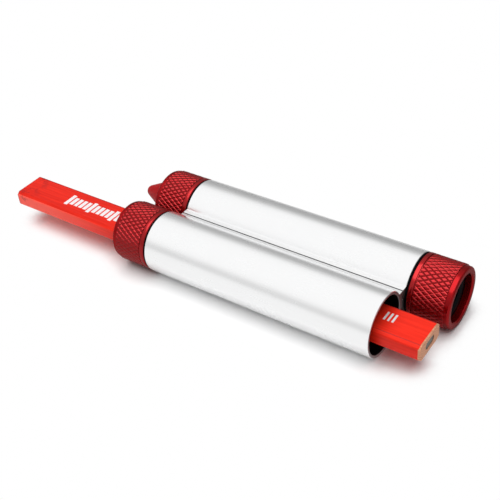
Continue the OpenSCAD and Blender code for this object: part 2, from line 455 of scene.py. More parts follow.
@dataclass(frozen=True)
class Bars:
    """A row of bars printed across a flat face. Lengths are in mm, and one bar in a few may be longer."""

    start: float
    pitch: float
    count: int
    across: float
    cover: float
    half: float
    longer: float = 0.0
    every: int = 5

    def share(self, along: Wire, across: Wire) -> Wire:
        """Finds the bars at a point.

        Args:
            along: the point's distance along the face.
            across: its place across it.

        Returns:
            1 on a bar, else 0.
        """
        step = (along - self.start) / self.pitch
        within = (step > 0) * (step < self.count)
        half = ((step / self.every).rest() < 1 / self.every) * self.longer + self.half
        return within * (step.rest() < self.cover) * (abs(across - self.across) < half)


@dataclass(frozen=True)
class PencilLacquer(Finish):
    """Bright red lacquer on a rolled pencil, printed in white with a plain ruled scale and three bars.

    Distances along the pencil are from its dipped end, whose place along X is left.
    """

    name: str = "red_lacquer"
    red: Colour = (0.96, 0.032, 0.014)
    # darker red for random streaks and for painted shade, along the top near the dipped end and along the
    # flanks away from it
    deep: Colour = (0.68, 0.015, 0.006)
    # paler red laid on the flanks near the dipped end as painted light
    light: Colour = (0.98, 0.11, 0.078)
    white: Colour = (0.86, 0.85, 0.86)
    # plum red for real stains and blots, and for painted dark reflection along the top's edges and round the
    # dipped end
    plum_stain_and_reflection: Colour = (0.2, 0.008, 0.012)
    roughness: float = 0.35
    shine: float = 0.12
    centre: Colour = (0, 0, 0)
    roll: float = 0.0
    left: float = 0.0
    top: float = 3.4
    top_band: float = 0.25
    flank_below: float = 0.9
    edge_at: float = 5.85
    near_line: tuple[float, float] = (0.2, 0.05)
    near_fade: tuple[float, float] = (60.0, 150.0)
    near_dark: float = 0.5
    far_line: tuple[float, float] = (5.3, 5.75)
    far_dark: float = 0.6
    end_rim: tuple[float, float] = (1.2, 0.4)
    rim_dark: float = 0.7
    end_stain: tuple[float, float] = (13.0, 3.0)
    stain_range: tuple[float, float] = (0.5, 0.62)
    stain_dark: float = 0.5
    spot_range: tuple[float, float] = (0.62, 0.8)
    spot_dark: float = 0.15
    top_shade_fade: tuple[float, float] = (30.0, 140.0)
    flank_shade_fade: tuple[float, float] = (60.0, 20.0)
    flank_painted_light: tuple[float, float] = (60.0, 5.0)
    streak_scale: float = 1.1
    streak_stretch: float = 0.06
    streak_range: tuple[float, float] = (0.3, 0.75)
    streak_clear: float = 0.5
    streak_height: float = 0.4
    peel_scale: float = 1.6
    peel_depth: float = 0.03
    relief: float = 0.35
    blot_scale: float = 0.22
    blot_rough: float = 0.12
    ink: float = 0.93
    ink_worn: float = 0.25
    ink_worn_from: float = 0.66
    ink_rough: float = 0.15
    scale: Bars = Bars(start=23.4, pitch=2.3, count=15, across=-0.4, cover=0.72, half=2.3, longer=0.9)
    mark: Bars = Bars(start=163.65, pitch=1.5, count=3, across=1.0, cover=0.5, half=2.0)

    def paint(self, graph: Graph) -> None:
        """Prints lie on the top face alone; every fifth bar of the scale is longer than the others.

        Lacquer is painted plum as dark reflection in lines along the top's edges and round the dipped end,
        which is also stained in broad blots. Painted light makes the flanks lighter towards the dipped end,
        and painted shade deepens the top towards the dipped end and the flanks away from it.

        Args:
            graph: the nodes that it adds to.
        """
        where = graph.place(self.centre, self.roll)
        along, across, up = where.axes()
        from_end = along - self.left
        on_top = up > self.top - self.top_band
        flank = up < self.top - self.flank_below
        streak = graph.noise(where.stretched(self.streak_stretch, 1, 1), self.streak_scale)
        peel = graph.noise(where, self.peel_scale, detail=2)
        blot = graph.noise(where, self.blot_scale, detail=4, roughness=0.6)
        bars = self.scale.share(from_end, across) + self.mark.share(from_end, across)
        printed = bars * on_top * (self.ink - (peel > self.ink_worn_from) * self.ink_worn)
        # painted dark reflection: plum lines along the top's edges, the near one fading out towards the
        # dipped end
        near_line = abs(across + self.edge_at).step(*self.near_line) * from_end.step(*self.near_fade)
        lines = near_line * self.near_dark + across.step(*self.far_line) * self.far_dark
        stain = blot.step(*self.stain_range) * from_end.step(*self.end_stain) * self.stain_dark
        blots = stain + blot.step(*self.spot_range) * self.spot_dark
        # end_rim adds painted dark reflection round the dipped end; blots are real stains
        stain_and_reflection = lines * on_top + blots + from_end.step(*self.end_rim) * self.rim_dark
        # painted shade: the top deepens towards the dipped end, and the flanks away from it
        clear = from_end.step(*self.top_shade_fade) * (1 - flank) + from_end.step(*self.flank_shade_fade) * flank
        streaks_and_shade = streak.step(*self.streak_range) * self.streak_clear + clear * (1 - self.streak_clear)
        red = graph.blend(streaks_and_shade, self.deep, self.red)
        # painted light: the flanks turn paler towards the dipped end
        red = graph.blend(flank * from_end.step(*self.flank_painted_light), red, self.light)
        waves = peel * (1 - self.streak_height) + streak * self.streak_height
        graph.surface({
            "Base Color": graph.blend(printed, graph.blend(stain_and_reflection, red, self.plum_stain_and_reflection), self.white),
            "Roughness": self.roughness + blot.swing(self.blot_rough) + printed * self.ink_rough,
            "Specular IOR Level": self.shine,
            "Normal": graph.relief(waves, self.peel_depth, self.relief),
        })


@dataclass(frozen=True)
class Cedar(Finish):
    """Bare cedar: growth rings on the cut end, drawn out into grain along the sides."""

    name: str = "cedar"
    early: Colour = (0.8, 0.37, 0.21)
    late: Colour = (0.32, 0.14, 0.07)
    roughness: float = 0.62
    centre: Colour = (0, 0, 0)
    ring_pitch: float = 0.75
    ring_slant: float = 0.35
    ring_shake: float = 3.0
    ring_late: tuple[float, float] = (0.45, 0.95)
    late_share: float = 0.55
    shake_stretch: tuple[float, float] = (0.05, 0.35)
    fibre_scale: float = 6.0
    fibre_stretch: float = 0.08
    fibre_share: float = 0.4
    fibre_rough: float = 0.2
    ring_depth: float = 0.05
    relief: float = 0.5

    def paint(self, graph: Graph) -> None:
        """Rings are slanting layers, shaken by noise that is drawn out along the grain.

        Args:
            graph: the nodes that it adds to.
        """
        where = graph.place(self.centre)
        _, across, up = where.axes()
        lengthways, crossways = self.shake_stretch
        shake = graph.noise(where.stretched(lengthways, crossways, crossways), 1)
        rings = (up + across * self.ring_slant + shake * self.ring_shake) / self.ring_pitch
        late = rings.rest().step(*self.ring_late)
        fibre = graph.noise(where.stretched(self.fibre_stretch, 1, 1), self.fibre_scale)
        share = late * self.late_share + fibre * self.fibre_share
        graph.surface({
            "Base Color": graph.blend(share, self.early, self.late),
            "Roughness": self.roughness + fibre * self.fibre_rough,
            "Normal": graph.relief(share, self.ring_depth, self.relief),
        })


@dataclass(frozen=True)
class Graphite(Finish):
    """Dark lead with a metallic sheen, fine scratches from the saw, and a painted highlight in the middle of
    its cut end.
    """

    name: str = "graphite"
    grey: Colour = (0.012, 0.011, 0.01)
    # the lead's lustre in the scratches, and the painted highlight in the middle of the cut end
    sheen: Colour = (0.1, 0.086, 0.062)
    metallic: float = 0.4
    roughness: float = 0.34
    middle_highlight_share: float = 0.6
    scratch_scale: float = 5.0
    scratch_stretch: tuple[float, float] = (0.15, 1.2)
    scratch_rough: float = 0.2
    scratch_depth: float = 0.02
    relief: float = 0.4

    def paint(self, graph: Graph) -> None:
        """Scratches are noise drawn out across the lead; the mesh's tint is 1 in the middle of the cut end,
        where the sheen colour is laid on as a painted highlight.

        Args:
            graph: the nodes that it adds to.
        """
        scratch = graph.noise(graph.place().stretched(1, *self.scratch_stretch), self.scratch_scale)
        # painted highlight: the middle of the cut end turns to the sheen colour
        share = scratch * (1 - self.middle_highlight_share) + graph.tint() * self.middle_highlight_share
        graph.surface({
            "Base Color": graph.blend(share, self.grey, self.sheen),
            "Metallic": self.metallic,
            "Roughness": self.roughness + scratch * self.scratch_rough,
            "Normal": graph.relief(scratch, self.scratch_depth, self.relief),
        })


@dataclass(frozen=True)
class CrayonWax(Finish):
    """Dark red wax with a soft sheen, mottled by handling and paler where it is scuffed."""

    name: str = "dark_red_wax"
    wax: Colour = (0.36, 0.004, 0.006)
    scuff: Colour = (0.42, 0.012, 0.015)
    roughness: float = 0.42
    shine: float = 0.08
    dip_scale: float = 0.5
    dip_range: tuple[float, float] = (0.5, 0.9)
    dip_share: float = 0.2
    dip_rough: float = 0.15
    dip_depth: float = 0.06
    scuff_scale: float = 3.2
    scuff_stretch: float = 0.3
    scuff_range: tuple[float, float] = (0.56, 0.8)
    scuff_share: float = 0.6
    scuff_rough: float = 0.2
    scuff_height: float = 0.4
    relief: float = 0.4

    def paint(self, graph: Graph) -> None:
        """Scuffs are the peaks of fine noise; the moulding's dips are broad noise.

        Args:
            graph: the nodes that it adds to.
        """
        where = graph.place()
        broad = graph.noise(where, self.dip_scale)
        drawn = where.stretched(self.scuff_stretch, 1, 1)
        fine = graph.noise(drawn, self.scuff_scale, detail=4, roughness=0.6)
        scuffed = fine.step(*self.scuff_range) * self.scuff_share
        scuffed = scuffed + broad.step(*self.dip_range) * self.dip_share
        waves = broad * (1 - self.scuff_height) + fine * self.scuff_height
        graph.surface({
            "Base Color": graph.blend(scuffed, self.wax, self.scuff),
            "Roughness": self.roughness + broad.swing(self.dip_rough) + scuffed * self.scuff_rough,
            "Specular IOR Level": self.shine,
            "Normal": graph.relief(waves, self.dip_depth, self.relief),
        })


@dataclass(frozen=True)
class Axis:
    """A line along X that pieces lie round: where s is 0, which way s runs, and the line's y and z."""

    x: float
    y: float
    z: float
    side: int = 1

    def place(self, s: "Array | float", r: "Array | float", turn: "Array | float") -> Array:
        """Points on circles round the axis.

        Args:
            s: distance along the axis, in mm.
            r: distance from the axis.
            turn: angle from +Y towards +Z, in radians.

        Returns:
            Points of the row frame: x is s from the start, and y and z are r cos(turn) and r sin(turn) off
            the axis.
        """
        parts = (self.x + self.side * s, self.y + r * np.cos(turn), self.z + r * np.sin(turn))
        return np.stack(np.broadcast_arrays(*parts), axis=-1)

    def lay(self, s: "Array | float", flat: Array) -> Array:
        """Points of a flat outline, y and z about the axis, at distance s along it."""
        parts = (self.x + self.side * s, self.y + flat[..., 0], self.z + flat[..., 1])
        return np.stack(np.broadcast_arrays(*parts), axis=-1)


def around(count: int) -> Array:
    """Angles of count even steps round a circle."""
    return np.arange(count) * TURN / count


def eased(corners: "Array | list", radius: "Array | float", steps: int = 3) -> Array:
    """Rounds the inner corners of an open line.

    Each corner becomes an arc that touches both of its edges. Where the edges meet at twice an angle h, the
    arc starts radius over tan(h) from the corner, and its centre lies radius over sin(h) from it between the
    edges. A point of the arc is the turn between the radii to its start and to its end.

    Args:
        corners: the line's points.
        radius: one radius, or one for each inner corner.
        steps: straight steps of each arc.

    Returns:
        The points of the rounded line, with both end points kept.
    """
    corners = np.asarray(corners, float)
    inner = corners[1:-1]
    back, ahead = corners[:-2] - inner, corners[2:] - inner
    back /= np.linalg.norm(back, axis=1, keepdims=True)
    ahead /= np.linalg.norm(ahead, axis=1, keepdims=True)
    half = np.arccos(np.clip((back * ahead).sum(1), -1, 1))[:, None] / 2
    radius = np.broadcast_to(radius, len(inner))[:, None]
    middle = back + ahead
    centre = inner + middle / np.linalg.norm(middle, axis=1, keepdims=True) * radius / np.sin(half)
    start = inner + back * radius / np.tan(half) - centre
    end = inner + ahead * radius / np.tan(half) - centre
    sweep = (np.pi - 2 * half)[:, :, None]
    share = np.linspace(0, 1, steps + 1)[None, :, None]
    arcs = np.sin((1 - share) * sweep) * start[:, None] + np.sin(share * sweep) * end[:, None]
    arcs = arcs / np.sin(sweep) + centre[:, None]
    return np.vstack([corners[:1], arcs.reshape(-1, 2), corners[-1:]])


def eased_loop(corners: "Array | list", radius: "Array | float", steps: int = 3) -> Array:
    """Rounds every corner of a closed outline, in the same way."""
    corners = np.asarray(corners, float)
    return eased(np.vstack([corners[-1:], corners, corners[:1]]), radius, steps)[1:-1]


class Shell:
    """Collects the grids and fills of one closed piece, and turns them into a mesh."""

    def __init__(self) -> None:
        """Starts with no points."""
        self.points: list[Array] = []
        self.tints: list[Array] = []
        self.faces: list[list[int]] = []
        self.count = 0

    def add(self, points: Array, tint: "Array | float" = 0.0) -> Index:
        """Adds points.

        Args:
            points: an array whose last axis is x, y and z, in mm.
            tint: each point's share for the finish, or one for all.

        Returns:
            The points' numbers, in the shape of the array.
        """
        shape = points.shape[:-1]
        total = int(np.prod(shape))
        self.points.append(points.reshape(-1, 3))
        self.tints.append(np.broadcast_to(tint, shape).reshape(-1))
        self.count += total
        return np.arange(self.count - total, self.count).reshape(shape)

    def skin(self, ids: Index, loop: bool = False) -> Index:
        """The quads of a grid whose columns close on themselves.

        Args:
            ids: the grid's point numbers, a row to each ring.
            loop: whether the last row also joins the first.

        Returns:
            The quads, in the grid's own order.
        """
        after = np.roll(ids, -1, axis=0)
        rows = slice(None) if loop else slice(-1)
        corners = (ids, np.roll(ids, -1, axis=1), np.roll(after, -1, axis=1), after)
        return np.stack([c[rows] for c in corners], axis=-1)

    def quads(self, quads: Index) -> None:
        """Keeps quads as faces."""
        self.faces += quads.reshape(-1, 4).tolist()

    def halves(self, quads: Index, other: NDArray[np.bool_]) -> None:
        """Keeps each quad as two triangles.

        Args:
            quads: the quads' point numbers.
            other: for each quad, whether it is cut from its second corner instead of its first.
        """
        a, b, c, d = (quads[..., k] for k in range(4))
        first = np.where(other[..., None], np.stack([a, b, d], -1), np.stack([a, b, c], -1))
        second = np.where(other[..., None], np.stack([b, c, d], -1), np.stack([a, c, d], -1))
        self.faces += first.reshape(-1, 3).tolist() + second.reshape(-1, 3).tolist()

    def fill(self, *loops: Index) -> None:
        """Fills a flat outline across X, less any outlines inside it, with triangles.

        Args:
            loops: the point numbers of the outline, and of each outline inside it.
        """
        points = np.vstack(self.points)
        names = np.concatenate(loops)
        found = tessellate_polygon([[Vector(p) for p in points[loop][:, 1:]] for loop in loops])
        self.faces += names[np.array(found)].tolist()

    def tip(self, ring: Index, point: Array, tint: float = 0.0) -> None:
        """Closes a ring with triangles to one point.

        Args:
            ring: the ring's point numbers.
            point: where the triangles meet.
            tint: the point's share for the finish.
        """
        pole = int(self.add(np.asarray(point, float)[None], tint)[0])
        around_ring = np.stack([ring, np.roll(ring, -1), np.full_like(ring, pole)], axis=-1)
        self.faces += around_ring.tolist()

    def piece(self, name: str, finish: Finish) -> bpy.types.Object:
        """Makes the object.

        Args:
            name: its name.
            finish: what it is dressed in.

        Returns:
            The object, at the origin, with its faces turned outwards.
        """
        mesh = bpy.data.meshes.new(name)
        mesh.from_pydata((np.vstack(self.points) * MM).tolist(), [], self.faces)
        mesh.attributes.new(TINT, "FLOAT", "POINT").data.foreach_set("value", np.concatenate(self.tints))
        work = bmesh.new()
        work.from_mesh(mesh)
        bmesh.ops.recalc_face_normals(work, faces=work.faces)
        work.to_mesh(mesh)
        work.free()
        return shown(name, mesh, finish)


def shown(name: str, mesh: bpy.types.Mesh, finish: Finish) -> bpy.types.Object:
    """Links a mesh to the scene as a smooth object, sharp where two faces meet at CREASE degrees or more.

    Args:
        name: the object's name.
        mesh: its mesh.
        finish: what it is dressed in.

    Returns:
        The object.
    """
    mesh.shade_smooth()
    mesh.set_sharp_from_angle(angle=math.radians(CREASE))
    mesh.materials.clear()
    mesh.materials.append(finish.material())
    made = bpy.data.objects.new(name, mesh)
    bpy.context.scene.collection.objects.link(made)
    return made


def settle(piece: bpy.types.Object, body: str, slot: Slot, *nodes: str) -> bpy.types.Object:
    """Puts a piece on its body, in place of its CAD nodes.

    Args:
        piece: the finished piece.
        body: the CAD body that carries it.
        slot: the record's slot for the piece, which is not used.
        nodes: the CAD nodes that it stands for.

    Returns:
        The piece.
    """
    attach(piece, body)
    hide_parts(*nodes)
    log.info("%s rides on %s: %d faces", piece.name, body, len(piece.data.polygons))
    return piece


def ring_piece(name: str, finish: Finish, axis: Axis, section: Array, columns: int) -> bpy.types.Object:
    """Turns a closed section round an axis: the ring's points are the section's s and r at every angle.

    Args:
        name: the piece's name.
        finish: what it is dressed in.
        axis: the line that it lies round.
        section: its points' s and r.
        columns: how many angles it has.

    Returns:
        The piece.
    """
    shell = Shell()
    ids = shell.add(axis.place(section[:, :1], section[:, 1:], around(columns)), 1.0)
    shell.quads(shell.skin(ids, loop=True))
    return shell.piece(name, finish)


def prism(shell: Shell, axis: Axis, outline: Array, rings: list[tuple[float, float, float]]) -> None:
    """Carries an outline along an axis and closes both ends.

    Args:
        shell: where the faces go.
        axis: the line that it runs along.
        outline: y and z of its points about the axis.
        rings: for each place along it, the distance, the outline's share of its full size, and the tint.
    """
    stations, sizes, tints = np.array(rings, float).T[..., None]
    ids = shell.add(axis.lay(stations, outline[None] * sizes[..., None]), tints)
    shell.quads(shell.skin(ids))
    shell.fill(ids[0])
    shell.fill(ids[-1])


@dataclass(frozen=True)
class Thread:
    """A right-handed screw thread, cut with rows rings of points to the turn.

    The tooth's phase is s over the pitch, less the turn about the outward axis. From 0 it falls to the
    first of the tooth's shares, stays down to the second, rises to the third, and is crest for the rest.
    """

    pitch: float = 1.0
    depth: float = 0.45
    turns: int = 7
    rows: int = 8
    tooth: tuple[float, float, float] = (0.375, 0.5, 0.875)

    def dip(self, s: Array, turn: Array, side: "Array | int") -> Array:
        """How deep the thread is cut, from 0 on its crest to 1 at its root.

        Args:
            s: distance outwards along the axis.
            turn: angle round it.
            side: 1 where outwards is towards +X, else -1.

        Returns:
            The share of the thread's full depth.
        """
        phase = (s / self.pitch - side * turn / TURN) % 1
        return np.interp(phase, [0, *self.tooth, 1], [0, 1, 1, 0, 0])


@dataclass
class TwinBarrel:
    """Both tubes of the holder with their halves of the web, and the cone seats pressed into them."""

    radius: float = TUBE_RADIUS
    bore: float = 10.45
    web: float = 5.7
    fillet: float = 0.4
    seam_gap: float = 0.25
    seam_bevel: float = 0.12
    end_bevel: float = 0.15
    end_rim: float = 0.4
    end_run: float = 1.0
    mouth_bevel: float = 0.25
    ease: float = 0.03
    tongue: tuple[float, float, float] = (1.6, 2.1, 1.0)
    groove: tuple[float, float, float] = (1.66, 2.16, -1.06)
    # share of the bore's painted shade laid on the cut end faces and the mouth's bevel, which also stands for
    # their duller cut finish
    sawn: float = 0.55
    thread: Thread = Thread()
    seat_shoulder: float = 2.6
    seat_bore: float = 8.32
    seat_cone: tuple[float, float] = (8.52, 9.55)
    columns: int = 192
    fillet_steps: int = 6
    finish: Finish = field(default_factory=SatinAluminium)
    seat_finish: Finish = field(default_factory=TurnedAluminium)

    def outline(self, seam: float, key: tuple[float, float, float]) -> Array:
        """The outside of one tube and its half of the web.

        The upper half runs from the middle of the dovetail, up the seam's open slit, along the web's flat
        top, through a fillet that touches both the flat and the tube, and round the tube. The lower half
        mirrors it. The fillet's centre is its own radius above the flat and off the tube.

        Args:
            seam: distance from the tube's axis to the seam.
            key: the dovetail's half height at the seam, its half height at its tip, and its reach.

        Returns:
            Points across and up about the axis, with the web on the positive side.
        """
        root, tip, reach = key
        lip = seam - self.seam_gap
        up = self.web + self.fillet
        out = math.sqrt((self.radius + self.fillet) ** 2 - up**2)
        foot = math.atan2(up, out)
        flat = eased(
            [
                (seam + reach, 0), (seam + reach, tip), (seam, root), (lip, root + self.seam_gap),
                (lip, self.web - self.seam_bevel), (lip - self.seam_bevel, self.web), (out, self.web),
            ],
            self.ease,
        )
        bend = np.linspace(-math.pi / 2, foot - math.pi, self.fillet_steps)
        fillet = np.array([out, up]) + self.fillet * np.stack([np.cos(bend), np.sin(bend)], axis=1)
        sweep = np.linspace(foot, math.pi, self.columns // 2)
        tube = self.radius * np.stack([np.cos(sweep), np.sin(sweep)], axis=1)
        upper = np.vstack([flat[:-1], fillet[:-1], tube])
        return np.vstack([upper, upper[-2:0:-1] * (1, -1)])

    def outside(self, shell: Shell, axis: Axis, length: float, outline: Array) -> tuple[Index, Index]:
        """Carries the outline along the barrel, drawn in at both ends by the end bevel.

        Args:
            shell: where the faces go.
            axis: the barrel's axis, from one end face along the barrel.
            length: the barrel's length.
            outline: the outline across and up.

        Returns:
            The point numbers of the loops on the two end faces.
        """
        bevel = eased(
            [(0, self.end_rim), (0, self.end_bevel), (self.end_bevel, 0), (self.end_run, 0)], self.ease
        )
        stations = np.concatenate([bevel[:, 0], length - bevel[::-1, 0]])
        inset = np.concatenate([bevel[:, 1], bevel[::-1, 1]])
        lengths = np.linalg.norm(outline, axis=1, keepdims=True)
        on_tube = (np.abs(lengths - self.radius) < self.ease) * 1.0
        drawn = outline[None] - inset[:, None, None] * on_tube * outline / lengths
        across, up = np.abs(outline).T
        # the seam's slit takes tint 1 and is painted near black as shade; the end faces take the sawn share
        # of that painted shade
        slit = (across > abs(axis.y) - self.seam_gap - self.ease) & (up < self.web - 2 * self.seam_bevel)
        tint = np.where(inset[:, None] > 0, (inset[:, None] >= self.end_bevel) * self.sawn, slit)
        ids = shell.add(axis.lay(stations[:, None], drawn), tint)
        shell.quads(shell.skin(ids))
        return ids[0], ids[-1]

    def inside(
        self, shell: Shell, axis: Axis, length: float, threaded: tuple[bool, bool]
    ) -> tuple[Index, Index]:
        """Turns the bore, with a bevelled mouth and, where asked, a thread cut outwards at either end.

        Args:
            shell: where the faces go.
            axis: the barrel's axis, from one end face along the barrel.
            length: the barrel's length.
            threaded: whether the near end and the far end are threaded.

        Returns:
            The point numbers of the rings on the two end faces.
        """
        bevel, start = self.mouth_bevel, 2 * self.mouth_bevel
        mouth = eased([(0, start), (0, bevel), (bevel, 0), (start, 0)], self.ease)[1:]
        pitch, turns = self.thread.pitch, self.thread.turns
        run = np.linspace(start, start + (turns + 1) * pitch, (turns + 1) * self.thread.rows + 1)[1:]
        end = np.vstack([mouth, np.stack([run, np.zeros_like(run)], axis=1)])
        s = np.concatenate([end[:, 0], length - end[::-1, 0]])[:, None]
        widen = np.concatenate([end[:, 1], end[::-1, 1]])[:, None]
        depth = np.minimum(s, length - s)
        turn = around(self.columns)
        dip = self.thread.dip(-depth, turn, axis.side * np.where(s < length / 2, -1, 1))
        stop = start + turns * pitch
        cut = np.interp(depth, [start, start + pitch / 2, stop, stop + pitch / 2], [0, 1, 1, 0])
        cut = cut * np.where(s < length / 2, threaded[0], threaded[1])
        radius = self.bore + widen + self.thread.depth * dip * cut
        # the bore's tint of 1 paints it near black as shade, rising from the sawn share at the mouth
        tint = np.interp(depth, [0, bevel], [self.sawn, 1])
        ids = shell.add(axis.place(s, radius, turn), tint)
        shell.quads(shell.skin(ids))
        return ids[0], ids[-1]

    def barrel(self, node: str, toward: int, threaded: tuple[bool, bool]) -> bpy.types.Object:
        """One barrel with its half of the web.

        Args:
            node: the CAD node that it stands for.
            toward: 1 where its web lies on the +Y side, else -1.
            threaded: whether its left end and its right end are threaded.

        Returns:
            The piece.
        """
        low, high = (np.array(c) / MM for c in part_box(node))
        middle = high[1] - self.radius if toward < 0 else low[1] + self.radius
        axis = Axis(low[0], middle, self.radius)
        outline = self.outline(abs(middle), self.tongue if toward > 0 else self.groove)
        shell = Shell()
        length = high[0] - low[0]
        outer = self.outside(shell, axis, length, outline * (toward, 1))
        inner = self.inside(shell, axis, length, threaded)
        for face in range(2):
            shell.fill(outer[face], inner[face])
        return settle(shell.piece(node + "_tube", self.finish), "holder", Slot.BARREL, node)

    def seat(self, node: str) -> bpy.types.Object:
        """One cone seat: a pressed ring whose bore opens into the cone that closes the collet.

        Args:
            node: the CAD node that it stands for.

        Returns:
            The piece.
        """
        low, high = (np.array(c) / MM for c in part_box(node))
        side = 1 if node.startswith("rear") else -1
        axis = Axis(low[0] if side > 0 else high[0], (low[1] + high[1]) / 2, self.radius, side)
        length, shoulder = high[0] - low[0], self.seat_shoulder
        cone, mouth = self.seat_cone
        section = [
            (0, self.seat_bore), (0, self.bore), (length, self.bore),
            (length, mouth), (shoulder, cone), (shoulder, self.seat_bore),
        ]
        outline = eased_loop(section, self.ease)
        ring = ring_piece(node + "_ring", self.seat_finish, axis, outline, self.columns)
        return settle(ring, "holder", Slot.SEAT, node)

    def build(self) -> list[bpy.types.Object]:
        """Makes both barrels and the three seats.

        Returns:
            The pieces.
        """
        near = self.barrel("pencil_barrel", 1, (True, False))
        far = self.barrel("crayon_barrel", -1, (True, True))
        return [near, far] + [self.seat(grip + "_cone_seat") for grip in ("pencil", "front", "rear")]


